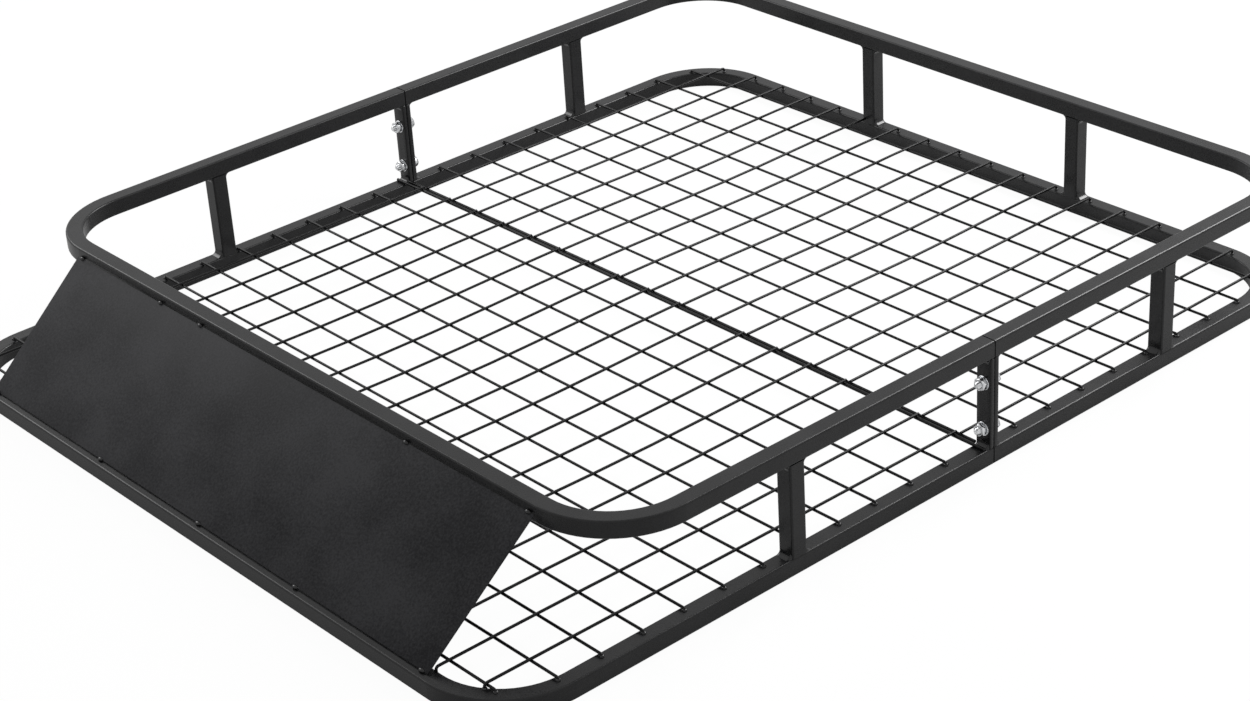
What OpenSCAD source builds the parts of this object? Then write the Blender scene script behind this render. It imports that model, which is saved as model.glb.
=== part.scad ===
// Two-piece steel roof basket with a wire mesh floor and a front wind fairing.
// Frame: millimetres, origin at the bottom centre, +X to the right-hand side,
// +Y to the rear, +Z up. The fairing is at the front (-Y).

/* [Overall] */
// Outer width across the side rails
basket_w = 1016; // [700:1:1400]
// Outer length of the bottom rails, front to rear
basket_l = 1219.2; // [900:1:1800]
// Height from the top face of the bottom rail to the top face of the top rail
rail_step = 127; // [70:1:220]
// How far the bottom rail reaches forward of the top rail
front_reach = 146; // [40:1:250]
// Outer bend radius of every rail corner
corner_r = 100; // [60:1:200]
// Where the two halves are bolted together, measured along Y
seam_y = 69.5; // [-150:0.5:250]
// Gap between the ends of the front and rear rails at the seam
seam_gap = 1.5; // [0.4:0.1:4]

/* [Square tube] */
// Outside size of the square tube of rails and posts
tube = 20; // [12:0.5:32]
// Wall thickness of the square tube
tube_wall = 1.5; // [0.9:0.1:3]
// Outside radius of the edges of the square tube
tube_edge = 2.2; // [0.5:0.1:5]

/* [Posts] */
// Distance of the side posts from the seam
post_from_seam = 287; // [150:1:450]
// Distance of each rear post from the middle plane
rear_post_x = 172; // [60:1:400]

/* [Seam bars and bolts] */
// Thickness of the front bar at the seam
front_bar_t = 6; // [4:0.5:14]
// Thickness of the rear bar at the seam
rear_bar_t = 6.5; // [4:0.5:14]
// Height of the lower seam bolt above the bottom rail
bolt_low = 22; // [12:0.5:60]
// Distance of the upper seam bolt below the top rail
bolt_down = 30; // [12:0.5:60]
// Diameter of the seam bolt
bolt_d = 8; // [5:0.5:10]
// Clearance of the bolt hole on diameter
bolt_play = 1; // [0.3:0.1:3]
// How far the bolt end stands out of its nut
bolt_out = 4; // [1:0.5:12]

/* [Floor mesh] */
// Diameter of the floor wire
wire_d = 3.2; // [2.5:0.1:6]
// Overlap of two crossing wires where they are welded
wire_sink = 0.4; // [0.1:0.1:1]
// Spacing of the lengthwise wires
pitch_x = 53.9; // [30:0.1:90]
// Spacing of the crosswise wires of the front half
front_pitch_y = 53; // [30:0.1:90]
// Spacing of the crosswise wires of the rear half
rear_pitch_y = 54.8; // [30:0.1:90]
// Sideways shift of the lengthwise wires of the front half
front_shift_x = 4.8; // [-20:0.1:20]
// Sideways shift of the lengthwise wires of the rear half
rear_shift_x = 10.8; // [-20:0.1:20]
// Distance from the seam to the nearest crosswise wire of the front half
front_first = 60; // [20:0.1:80]
// Distance from the seam to the nearest crosswise wire of the rear half
rear_first = 48; // [20:0.1:80]
// How far a wire end reaches over the rail before it bends down
hook_in = 7; // [3:0.5:14]
// Diameter of the round rod that ends the floor of each half
rod_d = 3.8; // [3:0.1:7]
// Gap between the front bar at the seam and the rod of the front half
front_rod_gap = 4.9; // [1:0.1:15]
// Gap between the two rods
rod_gap = 2.1; // [0.5:0.1:8]
// How far the ends of the front rod stay inside the outer faces of the rails
rod_inset = 2.5; // [1:0.5:12]
// How far the lengthwise wires of the front half reach past their rod
wire_past = 2; // [1:0.1:5]

/* [Wind fairing] */
// Width of the fairing along its bottom edge
fairing_w = 800; // [400:1:900]
// How much further out its top edge reaches on each side
fairing_flare = 6.5; // [0:0.5:40]
// Thickness of the fairing sheet
sheet_t = 1.2; // [0.8:0.1:3]
// Distance of the top edge of the sheet below the top face of the top rail
fairing_down = 7.5; // [3:0.5:12]
// How far the bottom edge of the sheet stands back from the front face of the rail
fairing_set = 7; // [3:0.5:12]

/* [Part shown] */
// Name of one node, or all

/* [Hidden] */
hw = basket_w / 2;
yf = -basket_l / 2;
yr = basket_l / 2;
ytf = yf + front_reach;
z1 = tube;
z2 = tube + rail_step;
post_h = rail_step - tube;
rc = hw - tube / 2;
front_seam = seam_y - seam_gap / 2;
rear_seam = seam_y + seam_gap / 2;
bolt_zs = [z1 + bolt_low, z2 - tube - bolt_down];
wire_r = wire_d / 2;
front_rod_y = seam_y - front_bar_t - front_rod_gap - rod_d / 2;
rear_rod_y = front_rod_y + rod_d + rod_gap;
// heights of the wire layers: lengthwise wires rest on the rods at the seam
z_len = z1 + rod_d + wire_r;
z_cross = z_len - wire_d + wire_sink;
// reach of the wire ends beyond the inner edge of the bottom rail
arc_r = corner_r - tube + hook_in;
xin = hw - tube + hook_in;
front_ys = [for (y = seam_y - front_first; y > yf + tube + wire_d; y = y - front_pitch_y) y];
rear_ys = [for (y = seam_y + rear_first; y < yr - tube - wire_d; y = y + rear_pitch_y) y];
nx = floor((hw - tube - 8) / pitch_x);
front_xs = [for (i = [-nx : nx + 1]) if (abs(wire_x(i, front_shift_x)) < hw - tube - wire_d)
  wire_x(i, front_shift_x)];
rear_xs = [for (i = [-nx : nx + 1]) if (abs(wire_x(i, rear_shift_x)) < hw - tube - wire_d)
  wire_x(i, rear_shift_x)];
steel_black = [0.11, 0.11, 0.12];
zinc = [0.72, 0.73, 0.74];
// how far the wires behind the fairing bend down past the top face of the rail
drop_in = 7;
washer_t = 1.6;
nut_af = bolt_d * 1.6;
nut_t = bolt_d * 0.8;
head_t = bolt_d * 0.65;

function wire_x(i, shift) = (i - 0.5) * pitch_x + shift;
// end of a crosswise wire at height y, following the rounded corners
function end_x(y) = let (d = max(abs(y) - (yr - corner_r), 0))
  min(xin, hw - corner_r + sqrt(max(arc_r * arc_r - d * d, 1)));
// end of a lengthwise wire at sideways position x
function end_y(x) = let (d = max(abs(x) - (hw - corner_r), 0))
  min(yr - tube + hook_in, yr - corner_r + sqrt(max(arc_r * arc_r - d * d, 1)));

module round_square(s, r) {
  translate([-s / 2 + r, -s / 2]) square([s - 2 * r, s]);
  translate([-s / 2, -s / 2 + r]) square([s, s - 2 * r]);
  for (i = [-1, 1], j = [-1, 1])
    translate([i * (s / 2 - r), j * (s / 2 - r)]) circle(r = r, $fn = 40);
}

module tube_2d() {
  difference() {
    round_square(tube, tube_edge);
    round_square(tube - 2 * tube_wall, max(tube_edge - tube_wall, 0.3));
  }
}

// straight tube along +Y, its centre line starting at the origin
module tube_y(len) {
  rotate([-90, 0, 0]) linear_extrude(height = len) tube_2d();
}

// straight tube along +X
module tube_x(len) {
  rotate([0, 90, 0]) linear_extrude(height = len) tube_2d();
}

// quarter bend about the origin in the +X +Y quadrant
module tube_bend() {
  rotate_extrude(angle = 90, $fn = 120) translate([corner_r - tube / 2, 0]) tube_2d();
}

// U-shaped rail open towards -Y: ends at y0, closed side at y1, on the level z
module u_rail(y0, y1, z) {
  yc = y1 - corner_r;
  xc = hw - corner_r;
  translate([0, 0, z - tube / 2]) union() {
    translate([rc, y0, 0]) tube_y(yc - y0);
    translate([-rc, y0, 0]) tube_y(yc - y0);
    translate([xc, yc, 0]) tube_bend();
    translate([-xc, yc, 0]) mirror([1, 0, 0]) tube_bend();
    translate([-xc, y1 - tube / 2, 0]) tube_x(2 * xc);
  }
}

module post(x, y) {
  translate([x, y, z1]) linear_extrude(height = post_h) tube_2d();
}

module seam_bar(x, y, t) {
  difference() {
    translate([x - tube / 2, y, z1]) cube([tube, t, post_h]);
    for (z = bolt_zs)
      translate([x, y - 1, z]) rotate([-90, 0, 0]) cylinder(d = bolt_d + bolt_play, h = t + 2, $fn = 48);
  }
}

// bar of six sides from a to b along X, with both ends bent down onto the rail
module cross_wire(y, z, e) {
  translate([-e - wire_r, y, z]) rotate([0, 90, 0]) cylinder(r = wire_r, h = 2 * (e + wire_r), $fn = 6);
  for (s = [-1, 1])
    translate([s * e, y, z1]) cylinder(r = wire_r, h = z - z1, $fn = 6);
}

// bar of six sides from y0 to y1 along Y, with its end at y1 bent down by drop
module length_wire(x, z, y0, y1, s, drop) {
  translate([x, min(y0, y1 + s * wire_r), z]) rotate([-90, 0, 0])
    rotate([0, 0, 30]) cylinder(r = wire_r, h = abs(y1 + s * wire_r - y0), $fn = 6);
  translate([x, y1, z - drop]) cylinder(r = wire_r, h = drop, $fn = 6);
}

// the front wires behind the fairing end on the inner face of the front rail
function under_fairing(x) = abs(x) < fairing_w / 2 + fairing_flare + 2 * wire_d;

module front_floor_mesh() {
  y0 = front_rod_y + rod_d / 2 + wire_past;
  y_inner = yf + tube + wire_r * cos(30);
  color(steel_black) union() {
    for (y = front_ys) cross_wire(y, z_cross, end_x(y));
    for (x = front_xs)
      if (under_fairing(x)) length_wire(x, z_len, y0, y_inner, -1, z_len - z1 + drop_in);
      else length_wire(x, z_len, y0, -end_y(x), -1, z_len - z1);
  }
}

module rear_floor_mesh() {
  color(steel_black) union() {
    for (y = rear_ys) cross_wire(y, z_cross, end_x(y));
    for (x = rear_xs) length_wire(x, z_len, rear_rod_y - rod_d / 2, end_y(x), 1, z_len - z1);
  }
}

// round rod lying on the level of the rails, from -reach to reach
module seam_rod(y, reach) {
  color(steel_black) translate([-reach, y, z1 + rod_d / 2]) rotate([0, 90, 0])
    cylinder(d = rod_d, h = 2 * reach, $fn = 32);
}

// a bolt pushed in from the rear bar, with its head behind and its end in front
module seam_bolt(x, z) {
  y_head = seam_y + rear_bar_t + washer_t;
  y_end = seam_y - front_bar_t - washer_t - nut_t - bolt_out;
  translate([x, y_end, z]) rotate([-90, 0, 0]) cylinder(d = bolt_d, h = y_head - y_end, $fn = 32);
  translate([x, y_head, z]) rotate([-90, 0, 0]) cylinder(d = nut_af / cos(30), h = head_t, $fn = 6);
}

module seam_nut(x, z) {
  difference() {
    translate([x, seam_y - front_bar_t - washer_t - nut_t, z]) rotate([-90, 0, 0])
      cylinder(d = nut_af / cos(30), h = nut_t, $fn = 6);
    translate([x, seam_y - front_bar_t - washer_t - nut_t - 1, z]) rotate([-90, 0, 0])
      cylinder(d = bolt_d + 0.1, h = nut_t + 2, $fn = 32);
  }
}

module washer(x, y, z) {
  translate([x, y, z]) rotate([-90, 0, 0]) difference() {
    cylinder(d = bolt_d * 2, h = washer_t, $fn = 40);
    translate([0, 0, -1]) cylinder(d = bolt_d + 0.4, h = washer_t + 2, $fn = 32);
  }
}

module seam_washers(x) {
  for (z = bolt_zs) {
    washer(x, seam_y - front_bar_t - washer_t, z);
    washer(x, seam_y + rear_bar_t, z);
  }
}

// section of the flat fairing sheet in the Y Z plane: it stands on the bottom
// rail and its upper edge meets the front face of the top rail
fy0 = yf + fairing_set;
fy1 = ytf;
fz1 = z2 - fairing_down;
slope = atan2(fz1 - z1, fy1 - fy0);
sheet_dy = sheet_t / sin(slope);
module fairing_2d() {
  polygon([[fy0, z1], [fy1, fz1], [fy1, fz1 - sheet_t / cos(slope)], [fy0 + sheet_dy, z1]]);
}

module wind_fairing() {
  lean = atan(fairing_flare / (fz1 - z1));
  big = fairing_w;
  color(steel_black) difference() {
    translate([-big, 0, 0]) rotate([90, 0, 90]) linear_extrude(height = 2 * big) fairing_2d();
    for (s = [0, 1]) mirror([s, 0, 0]) translate([fairing_w / 2, yf - 50, z1])
      rotate([0, lean, 0]) translate([0, 0, -100]) cube([big, front_reach + 100, rail_step + 200]);
  }
}

module front_top_rail() color(steel_black) mirror([0, 1, 0]) u_rail(-front_seam, -ytf, z2);
module rear_top_rail() color(steel_black) u_rail(rear_seam, yr, z2);
module front_bottom_rail() color(steel_black) mirror([0, 1, 0]) u_rail(-front_seam, -yf, z1);
module rear_bottom_rail() color(steel_black) u_rail(rear_seam, yr, z1);
module front_seam_rod() seam_rod(front_rod_y, hw - rod_inset);
module rear_seam_rod() seam_rod(rear_rod_y, hw - tube);
module right_front_post() color(steel_black) post(rc, seam_y - post_from_seam);
module left_front_post() color(steel_black) post(-rc, seam_y - post_from_seam);
module right_rear_side_post() color(steel_black) post(rc, seam_y + post_from_seam);
module left_rear_side_post() color(steel_black) post(-rc, seam_y + post_from_seam);
module rear_right_post() color(steel_black) post(rear_post_x, yr - tube / 2);
module rear_left_post() color(steel_black) post(-rear_post_x, yr - tube / 2);
module right_front_seam_bar() color(steel_black) seam_bar(rc, seam_y - front_bar_t, front_bar_t);
module right_rear_seam_bar() color(steel_black) seam_bar(rc, seam_y, rear_bar_t);
module left_front_seam_bar() color(steel_black) seam_bar(-rc, seam_y - front_bar_t, front_bar_t);
module left_rear_seam_bar() color(steel_black) seam_bar(-rc, seam_y, rear_bar_t);
module right_seam_bolts() color(zinc) for (z = bolt_zs) seam_bolt(rc, z);
module left_seam_bolts() color(zinc) for (z = bolt_zs) seam_bolt(-rc, z);
module right_seam_nuts() color(zinc) for (z = bolt_zs) seam_nut(rc, z);
module left_seam_nuts() color(zinc) for (z = bolt_zs) seam_nut(-rc, z);
module right_seam_washers() color(zinc) seam_washers(rc);
module left_seam_washers() color(zinc) seam_washers(-rc);

front_top_rail();
rear_top_rail();
front_bottom_rail();
rear_bottom_rail();
front_floor_mesh();
rear_floor_mesh();
front_seam_rod();
rear_seam_rod();
right_front_post();
left_front_post();
right_rear_side_post();
left_rear_side_post();
rear_right_post();
rear_left_post();
right_front_seam_bar();
right_rear_seam_bar();
left_front_seam_bar();
left_rear_seam_bar();
right_seam_bolts();
right_seam_nuts();
right_seam_washers();
left_seam_bolts();
left_seam_nuts();
left_seam_washers();
wind_fairing();
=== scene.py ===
import math

import bpy
from mathutils import Matrix, Vector


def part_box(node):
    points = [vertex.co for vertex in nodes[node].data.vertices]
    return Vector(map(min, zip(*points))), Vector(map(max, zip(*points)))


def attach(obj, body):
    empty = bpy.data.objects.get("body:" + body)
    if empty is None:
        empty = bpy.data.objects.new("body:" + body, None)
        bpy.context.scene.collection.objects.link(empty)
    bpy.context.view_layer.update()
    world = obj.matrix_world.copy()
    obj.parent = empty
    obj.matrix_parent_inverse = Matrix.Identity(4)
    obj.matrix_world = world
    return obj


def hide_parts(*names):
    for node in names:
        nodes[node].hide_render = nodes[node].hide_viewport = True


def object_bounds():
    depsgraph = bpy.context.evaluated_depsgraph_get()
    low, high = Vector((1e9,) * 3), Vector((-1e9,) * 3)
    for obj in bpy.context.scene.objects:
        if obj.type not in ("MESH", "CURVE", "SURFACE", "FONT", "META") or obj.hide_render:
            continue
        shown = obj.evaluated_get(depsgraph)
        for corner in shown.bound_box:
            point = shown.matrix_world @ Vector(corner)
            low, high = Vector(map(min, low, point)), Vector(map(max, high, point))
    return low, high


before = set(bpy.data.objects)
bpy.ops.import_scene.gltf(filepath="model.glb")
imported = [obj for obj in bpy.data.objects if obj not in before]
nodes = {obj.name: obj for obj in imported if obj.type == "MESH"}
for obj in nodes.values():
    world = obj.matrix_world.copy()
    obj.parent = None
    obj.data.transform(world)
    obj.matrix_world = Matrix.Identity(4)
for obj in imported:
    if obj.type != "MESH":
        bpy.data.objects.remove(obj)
cad_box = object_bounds()
MM = 0.001

# places read from the frame
post_low, post_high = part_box("right_front_post")
bar_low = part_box("right_front_seam_bar")[0]
rear_bar_low, rear_bar_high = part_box("right_rear_seam_bar")
rod_low, rod_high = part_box("front_seam_rod")
rear_rod_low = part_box("rear_seam_rod")[0]
fairing_low, fairing_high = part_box("wind_fairing")
bolts_low, bolts_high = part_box("right_seam_bolts")
nuts_low, nuts_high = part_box("right_seam_nuts")
washers_low, washers_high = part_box("right_seam_washers")
tube = post_high[0] - post_low[0]
half_width = cad_box[1][0]
half_length = cad_box[1][1]
rail_top = post_low[2]
post_top = post_high[2]
seam_y = rear_bar_low[1]
rod_thick = rod_high[2] - rod_low[2]

# the wire floor, at the sizes and spacings of its solids
wire_thick = 3.2 * MM
wire_r = wire_thick / 2
wire_overlap = 0.4 * MM  # sunk into each other where they cross
corner_r = 100 * MM  # outer bend of the rails
hook_in = 7 * MM  # foot of a wire, from the inner face of its rail
beside_in = 2 * MM  # the same for the wires right beside the sheet
drop_in = 7 * MM  # how much lower the wires behind the sheet end
pitch_x = 53.9 * MM
front_pitch = 53 * MM
rear_pitch = 54.8 * MM
front_shift = 4.8 * MM
rear_shift = 10.8 * MM
front_first = 60 * MM
rear_first = 48 * MM
wires_past_rod = 2 * MM
wave_high = 2.2 * MM
wave_long = 560 * MM
front_fan = -8 * MM
length_level = rail_top + rod_thick + wire_r
cross_level = length_level - wire_thick + wire_overlap
wire_sides = 10
rod_sides = 14
wire_parts = 8  # a long run is divided so that it can follow the waves
rod_parts = 16

# the fairing and the weld beads
sheet_thick = 1.2 * MM
sheet_gap = 1.2 * MM
sheet_flare = 6.5 * MM  # each side is that much narrower at the foot
sheet_half = fairing_high[0]
sheet_reach = sheet_half + 2 * wire_thick
foot_tacks_mm = (-391, -174, 15, 187, 391)
head_tacks_mm = (-398, -235, -157, 209, 398)
weld_leg = 6.5 * MM
bead_end = 0.55  # size of a bead at its ends, of its full size

# bolted seam, M8 hardware
bar_gap = 0.6 * MM
bar_round = 1.3 * MM
bolt_thick = 8 * MM
bolt_play = 0.5 * MM
thread_step = 1.25 * MM
thread_turns = 9
flats = 12.8 * MM
hex_corner = flats / math.sqrt(3)
past_corner = 1.02 * hex_corner
head_thick = 5.2 * MM
washer_thick = bar_low[1] - nuts_high[1]
bolt_x = half_width - tube / 2
bolt_heights = (rail_top + 22 * MM, post_top - 30 * MM)


def deselect():
    """Back to object mode with nothing selected."""
    if bpy.context.object and bpy.context.object.mode != "OBJECT":
        bpy.ops.object.mode_set(mode="OBJECT")
    bpy.ops.object.select_all(action="DESELECT")


def select(*pieces):
    """Selects only these pieces, the first one active."""
    deselect()
    for piece in pieces:
        piece.select_set(True)
    bpy.context.view_layer.objects.active = pieces[0]


def edit(mode="VERT"):
    """Edit mode with vertices, edges or faces as what is picked."""
    bpy.ops.object.mode_set(mode="EDIT")
    bpy.ops.mesh.select_mode(type=mode)


def extrude(x, y, z):
    """Draws what is picked out by this much."""
    bpy.ops.mesh.extrude_region_move(TRANSFORM_OT_translate={"value": (x, y, z)})


def apply_place():
    """Puts the place, turn and scale of the active piece into its mesh."""
    bpy.ops.object.transform_apply(location=True, rotation=True, scale=True)


def done(smooth_angle=40):
    """Leaves edit mode, faces outwards, place in the mesh and soft edges shaded smooth."""
    bpy.ops.object.mode_set(mode="EDIT")
    bpy.ops.mesh.select_all(action="SELECT")
    bpy.ops.mesh.remove_doubles(threshold=0.01 * MM)
    bpy.ops.mesh.normals_make_consistent(inside=False)
    bpy.ops.object.mode_set(mode="OBJECT")
    apply_place()
    bpy.ops.object.shade_smooth_by_angle(angle=math.radians(smooth_angle))
    return bpy.context.object


def modify(piece, kind, **settings):
    """Adds a modifier with its settings and applies it."""
    select(piece)
    bpy.ops.object.modifier_add(type=kind)
    modifier = piece.modifiers[-1]
    for name, value in settings.items():
        setattr(modifier, name, value)
    bpy.ops.object.modifier_apply(modifier=modifier.name)


def cut(piece, tool, how="DIFFERENCE"):
    """Cuts a piece with a tool shape, or keeps what lies inside both."""
    modify(piece, "BOOLEAN", operation=how, object=tool, solver="EXACT")
    bpy.data.objects.remove(tool)


def pick(test, mode="VERT"):
    """Picks, in edit mode, the points whose place passes a test, and what lies between them."""
    bpy.ops.mesh.select_mode(type="VERT")
    bpy.ops.mesh.select_all(action="DESELECT")
    bpy.ops.object.mode_set(mode="OBJECT")
    for v in bpy.context.object.data.vertices:
        v.select = bool(test(v.co))
    bpy.ops.object.mode_set(mode="EDIT")
    bpy.ops.mesh.select_mode(type=mode)


def turned(rings, sides=32):
    """A closed turned piece along Z. Each ring is (radius, height)."""
    deselect()
    radius, height = rings[0]
    bpy.ops.mesh.primitive_circle_add(vertices=sides, radius=radius, location=(0, 0, height),
                                      fill_type="NGON")
    edit("FACE")
    bpy.ops.mesh.select_all(action="SELECT")
    for (r0, z0), (r1, z1) in zip(rings, rings[1:]):
        extrude(0, 0, z1 - z0)
        bpy.ops.transform.resize(value=(r1 / r0, r1 / r0, 1), center_override=(0, 0, z1))
    return done(30)


def copy_to(piece, shift, turn=None):
    """A copy of a piece with its own mesh, moved by shift after a turn about the origin."""
    select(piece)
    bpy.ops.object.duplicate(linked=False)
    twin = bpy.context.object
    place = Matrix.Translation(shift)
    if turn:
        place = place @ turn
    twin.data.transform(place)
    return twin


def join(pieces, name):
    """Makes one named piece of several."""
    select(*pieces)
    if len(pieces) > 1:
        bpy.ops.object.join()
    piece = bpy.context.object
    piece.name = name
    piece.data.name = name
    return piece


def fit(piece, coat, slot, *stands_for):
    """Gives a finished piece its coat and puts it on the frame."""
    piece.data.materials.clear()
    piece.data.materials.append(coat)
    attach(piece, "root")
    if stands_for:
        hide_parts(*stands_for)


# finishes
def hex_linear(code):
    """An sRGB hex colour as linear red, green, blue and alpha."""
    parts = [int(code[i:i + 2], 16) / 255 for i in (1, 3, 5)]
    return [c / 12.92 if c <= 0.04045 else ((c + 0.055) / 1.055) ** 2.4 for c in parts] + [1.0]


def add_node(owner, kind, links=(), **settings):
    """Adds a shader node to a material or the world. Each link is (input, node, output).
    A setting is one of the node's own values, or else an input of that name."""
    node = owner.node_tree.nodes.new(kind)
    for name, value in settings.items():
        if hasattr(node, name):
            setattr(node, name, value)
        else:
            node.inputs[name.replace("_", " ")].default_value = value
    for socket, source, output in links:
        owner.node_tree.links.new(source.outputs[output], node.inputs[socket])
    return node


def new_material(name):
    """An empty material with nodes."""
    material = bpy.data.materials.new(name)
    material.use_nodes = True
    material.node_tree.nodes.clear()
    return material


def two_tones(material, source, output, dark, light, low, high):
    """Runs from a dark to a light colour as the source goes from low to high."""
    ramp = add_node(material, "ShaderNodeValToRGB", [("Fac", source, output)])
    ramp.color_ramp.elements[0].position = low
    ramp.color_ramp.elements[0].color = hex_linear(dark)
    ramp.color_ramp.elements[1].position = high
    ramp.color_ramp.elements[1].color = hex_linear(light)
    return ramp


def powder_coat(name, dark, light, rough, gloss, grain_mm, depth_mm, patch_mm, patchy=0.35):
    """Black polyester powder coat, sprayed on steel and baked. It cures to a fine orange peel,
    which breaks up every reflection into grain, and lies a little thicker in some places than in
    others. Real peel is under a millimetre across, and is drawn coarser here so that it shows."""
    m = new_material(name)
    place = add_node(m, "ShaderNodeTexCoord")
    peel = add_node(m, "ShaderNodeTexNoise", [("Vector", place, "Object")],
                    Scale=1000 / grain_mm, Detail=3.0, Roughness=0.6)
    patch = add_node(m, "ShaderNodeTexNoise", [("Vector", place, "Object")],
                     Scale=1000 / patch_mm, Detail=2.0)
    both = add_node(m, "ShaderNodeMix", [("A", peel, "Fac"), ("B", patch, "Fac")],
                    data_type="FLOAT", Factor=patchy)
    tone = two_tones(m, both, "Result", dark, light, 0.38, 0.62)
    relief = add_node(m, "ShaderNodeBump", [("Height", peel, "Fac")],
                      Strength=0.5, Distance=depth_mm * MM)
    sheen = add_node(m, "ShaderNodeMapRange", [("Value", both, "Result")],
                     From_Min=0.35, From_Max=0.65, To_Min=rough - 0.06, To_Max=rough + 0.06)
    shader = add_node(m, "ShaderNodeBsdfPrincipled",
                      [("Base Color", tone, "Color"), ("Normal", relief, "Normal"),
                       ("Roughness", sheen, "Result")], Specular_IOR_Level=gloss)
    add_node(m, "ShaderNodeOutputMaterial", [("Surface", shader, "BSDF")])
    return m


def zinc_plate(name, streak_mm=2.5):
    """Bright zinc on turned steel: a bluish white metal, cloudy where the plating is thicker."""
    m = new_material(name)
    place = add_node(m, "ShaderNodeTexCoord")
    cloud = add_node(m, "ShaderNodeTexNoise", [("Vector", place, "Object")],
                     Scale=1000 / streak_mm, Detail=3.0)
    tone = two_tones(m, cloud, "Fac", "#c9cbce", "#f4f5f6", 0.3, 0.7)
    sheen = add_node(m, "ShaderNodeMapRange", [("Value", cloud, "Fac")],
                     From_Min=0.3, From_Max=0.7, To_Min=0.26, To_Max=0.12)
    shader = add_node(m, "ShaderNodeBsdfPrincipled",
                      [("Base Color", tone, "Color"), ("Roughness", sheen, "Result")],
                      Metallic=1.0)
    add_node(m, "ShaderNodeOutputMaterial", [("Surface", shader, "BSDF")])
    return m


# satin on drawn tube, with a soft line of light along each rounded edge
tube_coat = powder_coat("satin_black_powder_coat_on_tube", "#161617", "#242425", rough=0.30,
                        gloss=0.30, grain_mm=1.6, depth_mm=0.06, patch_mm=45)
# a thin coat on wire, darker and smoother, so that the floor reads as black lines
wire_coat = powder_coat("satin_black_powder_coat_on_wire", "#080809", "#101011", rough=0.30,
                        gloss=0.19, grain_mm=1.2, depth_mm=0.04, patch_mm=30)
# a matt, textured coat on the flat sheet, cloudy, and paler than the coat on tube: the paleness is
# partly painted light, brightening the slanted sheet beyond what the lamps give it
sheet_coat = powder_coat("fine_textured_black_powder_coat_on_sheet", "#272729", "#454547",
                         rough=0.50, gloss=0.09, grain_mm=2.6, depth_mm=0.20, patch_mm=90,
                         patchy=0.5)
# glossier on weld beads, where it runs smooth over the ripples and each one catches a glint
weld_coat = powder_coat("black_powder_coat_on_weld_beads", "#161617", "#222223", rough=0.20,
                        gloss=0.42, grain_mm=1.0, depth_mm=0.05, patch_mm=10)
zinc = zinc_plate("bright_zinc_plate_on_bolts")

for name, node in nodes.items():
    coat = tube_coat
    if "mesh" in name or "rod" in name:
        coat = wire_coat
    elif "fairing" in name:
        coat = sheet_coat
    elif any(word in name for word in ("bolts", "nuts", "washers")):
        coat = zinc
    node.data.materials.clear()
    node.data.materials.append(coat)


# the wire floor
def bent_wire(corners, bend):
    """A round wire through the corners, bent to a radius at each, its long run in parts."""
    corners = [Vector(c) for c in corners]
    shortest = 0.05 * MM
    deselect()
    heading = (corners[1] - corners[0]).normalized()
    bpy.ops.mesh.primitive_circle_add(vertices=wire_sides, radius=wire_r, location=corners[0],
                                      rotation=heading.to_track_quat("Z", "Y").to_euler())
    apply_place()
    edit()
    bpy.ops.mesh.select_all(action="SELECT")
    bpy.ops.mesh.edge_face_add()
    bpy.ops.mesh.select_mode(type="EDGE")
    here = corners[0]
    for k in range(1, len(corners)):
        heading = (corners[k] - corners[k - 1]).normalized()
        last = k == len(corners) - 1
        stop = corners[k] if last else corners[k] - heading * bend
        run = stop - here
        steps = wire_parts if run.length > 10 * bend else 1
        if run.length > shortest:
            for _ in range(steps):
                extrude(*(run / steps))
        if not last:
            onward = (corners[k + 1] - corners[k]).normalized()
            bpy.ops.mesh.spin(steps=4, angle=math.pi / 2, center=stop + onward * bend,
                              axis=onward.cross(heading))
            here = corners[k] + onward * bend
    bpy.ops.mesh.edge_face_add()
    return done()


def foot_reach(along, half_along, half_across):
    """How far out the foot of a wire lies, less where the rail's rounded corner comes in."""
    arc = corner_r - tube + hook_in
    past = max(abs(along) - (half_along - corner_r), 0)
    round_reach = half_across - corner_r + math.sqrt(max(arc ** 2 - past ** 2, 1e-6))
    return min(half_across - tube + hook_in, round_reach)


def end_x(y):
    """Sideways reach of a crosswise wire at y."""
    return foot_reach(y, half_length, half_width)


def end_y(x):
    """Reach along Y of a lengthwise wire at x."""
    return foot_reach(x, half_width, half_length)


def spaced(first, step, limit):
    """Places from first on, a step apart, as far as limit."""
    count = int(abs(limit - first) / abs(step)) + 1
    return [first + step * k for k in range(count)]


front_ys = spaced(seam_y - front_first, -front_pitch, -half_length + tube + wire_thick)
rear_ys = spaced(seam_y + rear_first, rear_pitch, half_length - tube - wire_thick)


def length_xs(shift):
    """Sideways places of the lengthwise wires, half a step off a middle that is shifted."""
    reach = half_width - tube - wire_thick
    places = [(k - 0.5) * pitch_x + shift for k in range(-9, 11)]
    return [x for x in places if abs(x) < reach]


def lie(x, y):
    """How far the floor stands off flat: it bulges at the seam and hangs between, as pictured."""
    across = 1 - (x / half_width) ** 2
    along = 1 - (y / half_length) ** 6
    return wave_high * across * along * math.cos(2 * math.pi * (y - seam_y) / wave_long)


def fan(y):
    """How far the lengthwise wires of the front half have run sideways at y."""
    return front_fan * max(seam_y - y, 0) / (seam_y + half_length)


def lay(piece, fanned=False):
    """Lets a piece of the floor follow its waves, all but the ends, which stay on the rails."""
    for v in piece.data.vertices:
        v.co.z += lie(v.co.x, v.co.y)
        v.co.x += fan(v.co.y) if fanned else 0
    return piece


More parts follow.
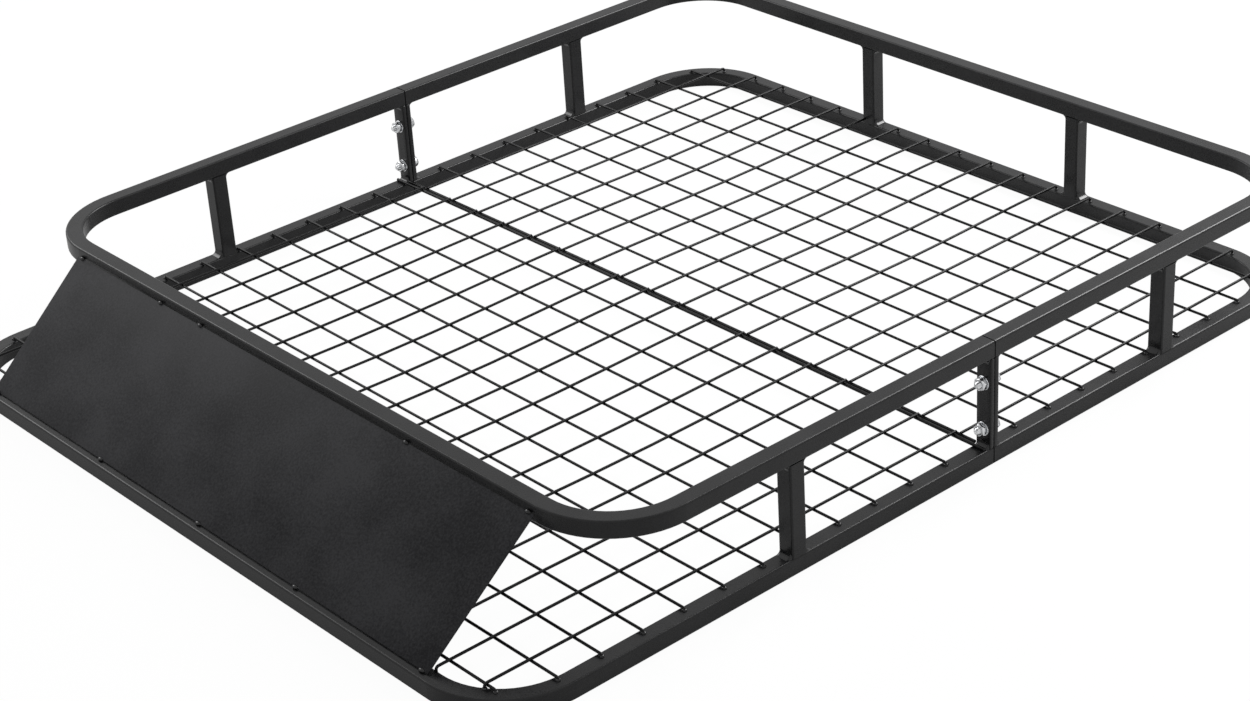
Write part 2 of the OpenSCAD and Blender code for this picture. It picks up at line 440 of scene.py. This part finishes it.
def floor_wires(name, ys, xs, start_y, side):
    """All wires of one half of the floor. side is -1 for the front half and 1 for the rear."""
    flat_x = half_width - tube + hook_in
    flat_y = side * (half_length - tube + hook_in)
    cross = bent_wire([(-flat_x, 0, rail_top), (-flat_x, 0, cross_level),
                       (flat_x, 0, cross_level), (flat_x, 0, rail_top)],
                      cross_level - rail_top - 0.1 * MM)
    length = bent_wire([(0, start_y, length_level), (0, flat_y, length_level),
                        (0, flat_y, rail_top)], wire_thick)
    crosswise, lengthwise = [], []
    for y in ys:
        wire = copy_to(cross, (0, y, 0))
        inwards = end_x(y) - flat_x
        for v in wire.data.vertices:
            v.co.x += inwards if v.co.x > 0 else -inwards
        crosswise.append(lay(wire))
    for x in xs:
        wire = copy_to(length, (x, 0, 0))
        behind_sheet = side < 0 and abs(x) < sheet_half
        reach = end_y(x)
        if behind_sheet:
            reach = half_length - tube - wire_r
        elif side < 0 and abs(x) < sheet_reach:
            reach = half_length - tube + beside_in
        for v in wire.data.vertices:
            if side * v.co.y > 0.3 * half_length:
                v.co.y += side * reach - flat_y
            if behind_sheet and v.co.z < length_level - wire_thick:
                v.co.z -= drop_in
        lengthwise.append(lay(wire, True))
    bpy.data.objects.remove(cross)
    bpy.data.objects.remove(length)
    return join(crosswise + lengthwise, name)


fit(floor_wires("front_floor_wires", front_ys, length_xs(front_shift),
                rod_high[1] + wires_past_rod, -1), wire_coat, "mesh_black", "front_floor_mesh")
fit(floor_wires("rear_floor_wires", rear_ys, length_xs(rear_shift),
                rear_rod_low[1], 1), wire_coat, "mesh_black", "rear_floor_mesh")


# seam rods
def seam_rod(name, node):
    """Round bar along the seam with its end edges rounded over by the shears."""
    low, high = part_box(node)
    radius = (high[2] - low[2]) / 2
    middle = ((low[1] + high[1]) / 2, (low[2] + high[2]) / 2)
    ease = 0.3 * radius
    small = 0.7
    deselect()
    bpy.ops.mesh.primitive_circle_add(vertices=rod_sides, radius=radius * small,
                                      location=(low[0], *middle),
                                      rotation=(0, math.pi / 2, 0), fill_type="NGON")
    edit("FACE")
    bpy.ops.mesh.select_all(action="SELECT")
    extrude(ease, 0, 0)
    bpy.ops.transform.resize(value=(1, 1 / small, 1 / small),
                             center_override=(low[0] + ease, *middle))
    for _ in range(rod_parts):
        extrude((high[0] - low[0] - 2 * ease) / rod_parts, 0, 0)
    extrude(ease, 0, 0)
    bpy.ops.transform.resize(value=(1, small, small), center_override=(high[0], *middle))
    return join([lay(done())], name)


fit(seam_rod("front_round_rod", "front_seam_rod"), wire_coat, "mesh_black", "front_seam_rod")
fit(seam_rod("rear_round_rod", "rear_seam_rod"), wire_coat, "mesh_black", "rear_seam_rod")


# seam bars
def seam_bar(name, node):
    """Flat bar with rolled round edges and its two clearance holes, welded between the rails.
    The coat keeps the two bars of a seam a hair apart."""
    low, high = (Vector(corner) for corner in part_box(node))
    if high.y > seam_y + MM:
        low.y += bar_gap / 2
    else:
        high.y -= bar_gap / 2
    deselect()
    bpy.ops.mesh.primitive_cube_add(size=1, location=(low + high) / 2, scale=high - low)
    edit()
    bpy.ops.mesh.select_all(action="SELECT")
    bpy.ops.mesh.bevel(offset=bar_round, segments=3, affect="EDGES")
    bar = done(30)
    for z in bolt_heights:
        deselect()
        bpy.ops.mesh.primitive_cylinder_add(vertices=32, radius=bolt_thick / 2 + bolt_play,
                                            depth=30 * MM, rotation=(math.pi / 2, 0, 0),
                                            location=((low.x + high.x) / 2, low.y, z))
        cut(bar, bpy.context.object)
    return join([bar], name)


for side in ("right", "left"):
    for half in ("front", "rear"):
        stem = side + "_" + half
        fit(seam_bar(stem + "_flat_bar", stem + "_seam_bar"), tube_coat, "tube_black",
            stem + "_seam_bar")


# weld beads
def rippled(length, steps):
    """Draws the picked profile out along X in ripples, as the weld froze, thin at both ends."""
    sizes = [bead_end] + [1.0 if k % 2 else 0.88 for k in range(steps - 1)] + [bead_end]
    for k in range(steps):
        extrude(length / steps, 0, 0)
        growth = sizes[k + 1] / sizes[k]
        here = (k + 1) * length / steps - length / 2
        bpy.ops.transform.resize(value=(1, growth, growth), center_override=(here, 0, 0))


def corner_weld(leg, length):
    """A fillet weld in the corner between +Y and +Z, along X, its face hollow as of a flat run."""
    start = bead_end * leg
    deselect()
    bpy.ops.mesh.primitive_plane_add(size=start, location=(-length / 2, start / 2, start / 2),
                                     rotation=(0, math.pi / 2, 0))
    apply_place()
    edit()
    pick(lambda co: co.y > 0.9 * start and co.z > 0.9 * start)
    bpy.ops.mesh.bevel(offset=0.97 * start, segments=5, profile=0.12, affect="VERTICES")
    pick(lambda co: True, "FACE")
    rippled(length, 12)
    return done(50)


def spot_weld(x, y, z, seed):
    """A small frozen drop of weld metal, half sunk where it was laid."""
    deselect()
    bpy.ops.mesh.primitive_ico_sphere_add(subdivisions=2, radius=1)
    bpy.context.object.scale = (x, y, z)
    apply_place()
    edit()
    bpy.ops.mesh.select_all(action="SELECT")
    bpy.ops.transform.vertex_random(offset=0.12 * min(x, y, z), seed=seed)
    return done(60)


# at the foot and head of each post, before and behind it, or beside it on the rear rails
fillet = corner_weld(weld_leg, tube - 2.5 * MM)
upright = Matrix.Rotation(math.pi / 2, 4, "Z")
posts = ["right_front_post", "left_front_post", "right_rear_side_post", "left_rear_side_post",
         "rear_right_post", "rear_left_post"]
welds = []
for name in posts:
    low, high = (Vector(corner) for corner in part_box(name))
    middle = (low + high) / 2
    on_rear = name.startswith("rear")
    for quarter in range(4):
        turn = Matrix.Rotation(quarter * math.pi / 2, 4, "X")
        if on_rear:
            turn = upright @ turn
        out = tube / 2 if quarter in (0, 3) else -tube / 2
        x, y = (middle.x - out, middle.y) if on_rear else (middle.x, middle.y + out)
        welds.append(copy_to(fillet, (x, y, low.z if quarter < 2 else high.z), turn))
# and on the outer face of each seam bar
for side in ("right", "left"):
    for half, quarters in (("front", (1, 2)), ("rear", (0, 3))):
        low, high = (Vector(corner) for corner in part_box(side + "_" + half + "_seam_bar"))
        face_y = low.y if half == "front" else high.y
        for quarter, level in zip(quarters, (low.z, high.z)):
            turn = Matrix.Rotation(quarter * math.pi / 2, 4, "X")
            welds.append(copy_to(fillet, ((low.x + high.x) / 2, face_y, level), turn))
bpy.data.objects.remove(fillet)
fit(join(welds, "rail_weld_beads"), weld_coat, "tube_black")

# a drop at each wire's foot, every one turned its own way
drop = spot_weld(3.0 * MM, 3.0 * MM, 2.2 * MM, 3)
drops = []
for k, y in enumerate(front_ys + rear_ys):
    for out in (-1, 1):
        turn = Matrix.Rotation(k * 1.3 + out, 4, "Z")
        drops.append(copy_to(drop, (out * end_x(y), y, rail_top), turn))
for xs, side in ((length_xs(front_shift), -1), (length_xs(rear_shift), 1)):
    for k, x in enumerate(xs):
        turn = Matrix.Rotation(k * 2.1, 4, "Z")
        y = side * end_y(x)
        if side > 0 or abs(x) > sheet_reach:
            drops.append(copy_to(drop, (x + fan(y), y, rail_top), turn))
bpy.data.objects.remove(drop)
fit(join(drops, "wire_foot_welds"), weld_coat, "mesh_black")

# wind fairing: a flat sheet with a dark line left open under the top rail and over the bottom one
sheet_foot = Vector((0, fairing_low[1], fairing_low[2]))
sheet_head = Vector((0, fairing_high[1], fairing_high[2]))
sheet_up = (sheet_head - sheet_foot).normalized()
sheet_in = Vector((0, sheet_up.z, -sheet_up.y))
foot_edge = sheet_foot + sheet_up * ((sheet_thick * sheet_up.y + sheet_gap / 2) / sheet_up.z)
head_edge = sheet_head - sheet_up * ((sheet_thick * sheet_up.z + sheet_gap) / sheet_up.y)
deselect()
bpy.ops.mesh.primitive_plane_add(size=1)
for v in bpy.context.object.data.vertices:
    edge, reach = (head_edge, sheet_half) if v.co.y > 0 else (foot_edge, sheet_half - sheet_flare)
    v.co = (math.copysign(reach, v.co.x), edge.y, edge.z)
edit("FACE")
bpy.ops.mesh.select_all(action="SELECT")
extrude(*(sheet_in * sheet_thick))
bpy.ops.mesh.select_all(action="SELECT")
bpy.ops.mesh.bevel(offset=0.28 * MM, segments=2, affect="EDGES")
fit(join([done(30)], "fairing_sheet"), sheet_coat, "fairing_black", "wind_fairing")

tack = spot_weld(4.5 * MM, 2.4 * MM, 2.0 * MM, 5)
tacks = [copy_to(tack, (x * MM, edge.y, edge.z))
         for edge, places in ((foot_edge, foot_tacks_mm), (head_edge, head_tacks_mm))
         for x in places]
bpy.data.objects.remove(tack)
fit(join(tacks, "fairing_tack_welds"), weld_coat, "fairing_black")


# bolts, nuts and washers
def hexagon(thick, rings):
    """A hexagon along Z with its corners turned down to the rings."""
    deselect()
    bpy.ops.mesh.primitive_cylinder_add(vertices=6, radius=hex_corner, depth=thick,
                                        location=(0, 0, thick / 2))
    piece = done(30)
    cut(piece, turned(rings, 48), "INTERSECT")
    return piece


def hex_nut(thick):
    """Nut with both faces chamfered and both mouths of its bore countersunk."""
    face, slope = 0.46 * flats, 0.8 * MM
    nut = hexagon(thick, [(face, 0), (past_corner, slope), (past_corner, thick - slope),
                          (face, thick)])
    bore, mouth = bolt_thick / 2 + 0.06 * MM, bolt_thick / 2 + 1.1 * MM
    past, deep = 0.5 * MM, 0.55 * MM
    cut(nut, turned([(mouth, -past), (bore, deep), (bore, thick - deep), (mouth, thick + past)],
                    32))
    return join([nut], "nut")


def flat_washer(thick):
    """Punched washer with its outer edges eased."""
    rim = (washers_high[0] - washers_low[0]) / 2
    ease = 0.25 * MM
    washer = turned([(rim - ease, 0), (rim, ease), (rim, thick - ease), (rim - ease, thick)], 40)
    hole = bolt_thick / 2 + 0.3 * MM
    cut(washer, turned([(hole, -MM), (hole, thick + MM)], 32))
    return washer


def hex_bolt(head, long):
    """Head from the origin up, then the shank with its thread to the tip at long."""
    top = hexagon(head, [(0.44 * flats, 0), (past_corner, 0.9 * MM), (past_corner, head)])
    core = bolt_thick / 2 - 0.6 * MM
    tip = 0.7 * MM
    shank = turned([(core, head - MM), (core, long - tip), (core - tip, long)], 24)
    start = long - 0.9 * MM - thread_turns * thread_step
    deselect()
    bpy.ops.mesh.primitive_circle_add(vertices=4, radius=0.62 * MM, location=(core, 0, start),
                                      rotation=(math.pi / 2, 0, 0))
    thread = done()
    modify(thread, "SCREW", axis="Z", screw_offset=thread_step, iterations=thread_turns,
           steps=18, render_steps=18)
    select(thread)
    edit()
    bpy.ops.mesh.select_all(action="SELECT")
    bpy.ops.mesh.fill_holes(sides=4)
    thread = done(30)
    return join([top, shank, thread], "bolt")


# each set goes in from behind, and no two heads or nuts stop at the same turn
bolt_turn = Matrix.Rotation(math.pi / 2, 4, "X")
bolt = hex_bolt(head_thick, bolts_high[1] - bolts_low[1])
nut = hex_nut(nuts_high[1] - nuts_low[1])
washer = flat_washer(washer_thick)
for side, x in (("right", bolt_x), ("left", -bolt_x)):
    bolts, nuts_on, washers = [], [], []
    for k, z in enumerate(bolt_heights):
        head_turn = bolt_turn @ Matrix.Rotation(0.4 + k, 4, "Z")
        nut_turn = bolt_turn @ Matrix.Rotation(0.2 + 0.7 * k, 4, "Z")
        bolts.append(copy_to(bolt, (x, bolts_high[1], z), head_turn))
        nuts_on.append(copy_to(nut, (x, nuts_high[1], z), nut_turn))
        for y in (bar_low[1], rear_bar_high[1] + washer_thick):
            washers.append(copy_to(washer, (x, y, z), bolt_turn))
    fit(join(bolts, side + "_hex_bolts"), zinc, "zinc", side + "_seam_bolts")
    fit(join(nuts_on, side + "_hex_nuts"), zinc, "zinc", side + "_seam_nuts")
    fit(join(washers, side + "_flat_washers"), zinc, "zinc", side + "_seam_washers")
for piece in (bolt, nut, washer):
    bpy.data.objects.remove(piece)


# floor, light and camera
floor_size = 40
floor_drop = 0.5 * MM
paper_glow = 1.04
paper_share = 0.92  # the rest stays matte, so that the floor keeps the shadow
paper_mirrored = 0.25
sky_mirrored = 0.6
sky_light = 0.35
aim = (0, 0, 0.05)
photo_width = 1250
focal_pixels = 2684.30
sensor_mm = 36


def seen_share(owner, mirrored):
    """1 for what the camera sees, bare or through glass, and less for what gloss mirrors."""
    rays = add_node(owner, "ShaderNodeLightPath")
    gloss = add_node(owner, "ShaderNodeMath", [(0, rays, "Is Glossy Ray")],
                     operation="MULTIPLY")
    gloss.inputs[1].default_value = mirrored
    seen = add_node(owner, "ShaderNodeMath", [(0, rays, "Is Camera Ray"), (1, gloss, "Value")],
                    operation="MAXIMUM")
    return add_node(owner, "ShaderNodeMath",
                    [(0, seen, "Value"), (1, rays, "Is Transmission Ray")], operation="MAXIMUM")


def softbox(name, place, size, watts):
    """A soft lamp aimed at the basket."""
    light = bpy.data.lights.new(name, "AREA")
    light.shape = "RECTANGLE"
    light.size, light.size_y = size
    light.energy = watts
    lamp = bpy.data.objects.new(name, light)
    bpy.context.scene.collection.objects.link(lamp)
    lamp.location = place
    lamp.rotation_euler = (Vector(aim) - Vector(place)).to_track_quat("-Z", "Y").to_euler()


deselect()
bpy.ops.mesh.primitive_plane_add(size=floor_size, location=(0, 0, -floor_drop))
floor = bpy.context.object
floor.name = "floor"
# plain white backdrop paper: matte where light falls, and white to the camera
paper = new_material("white_paper")
share = add_node(paper, "ShaderNodeMath", [(0, seen_share(paper, paper_mirrored), "Value")],
                 operation="MULTIPLY")
share.inputs[1].default_value = paper_share
matte = add_node(paper, "ShaderNodeBsdfDiffuse", Color=hex_linear("#cfcfcf"))
glow = add_node(paper, "ShaderNodeEmission", Color=(1, 1, 1, 1), Strength=paper_glow)
mix = add_node(paper, "ShaderNodeMixShader",
               [("Fac", share, "Value"), (1, matte, "BSDF"), (2, glow, "Emission")])
add_node(paper, "ShaderNodeOutputMaterial", [("Surface", mix, "Shader")])
floor.data.materials.append(paper)

world = bpy.data.worlds.new("studio")
bpy.context.scene.world = world
world.use_nodes = True
world.node_tree.nodes.clear()
level = add_node(world, "ShaderNodeMapRange",
                 [("Value", seen_share(world, sky_mirrored), "Value")], To_Min=sky_light)
back = add_node(world, "ShaderNodeBackground", [("Strength", level, "Result")],
                Color=(1, 1, 1, 1))
add_node(world, "ShaderNodeOutputWorld", [("Surface", back, "Background")])

softbox("rear_softbox", place=(0.4, 1.9, 1.75), size=(1.5, 1.0), watts=62)
softbox("left_softbox", place=(-2.9, -0.6, 2.1), size=(2.0, 1.4), watts=36)

# camera of the photograph: right, down and forward directions of its image
right = Vector((0.66411049, 0.74555532, -0.05571828))
down = Vector((0.32285689, -0.35320945, -0.87806976))
ahead = Vector((-0.67432981, 0.56514631, -0.47527778))
eye = Vector((2.1162, -1.7740, 1.4688))
view = bpy.data.cameras.new("camera")
view.sensor_width = sensor_mm
view.sensor_fit = "HORIZONTAL"
view.lens = focal_pixels / photo_width * sensor_mm
camera = bpy.data.objects.new("camera", view)
bpy.context.scene.collection.objects.link(camera)
turn = Matrix((right, -down, -ahead)).transposed().to_4x4()
camera.matrix_world = Matrix.Translation(eye) @ turn
bpy.context.scene.camera = camera

bpy.context.scene.view_settings.view_transform = "Standard"
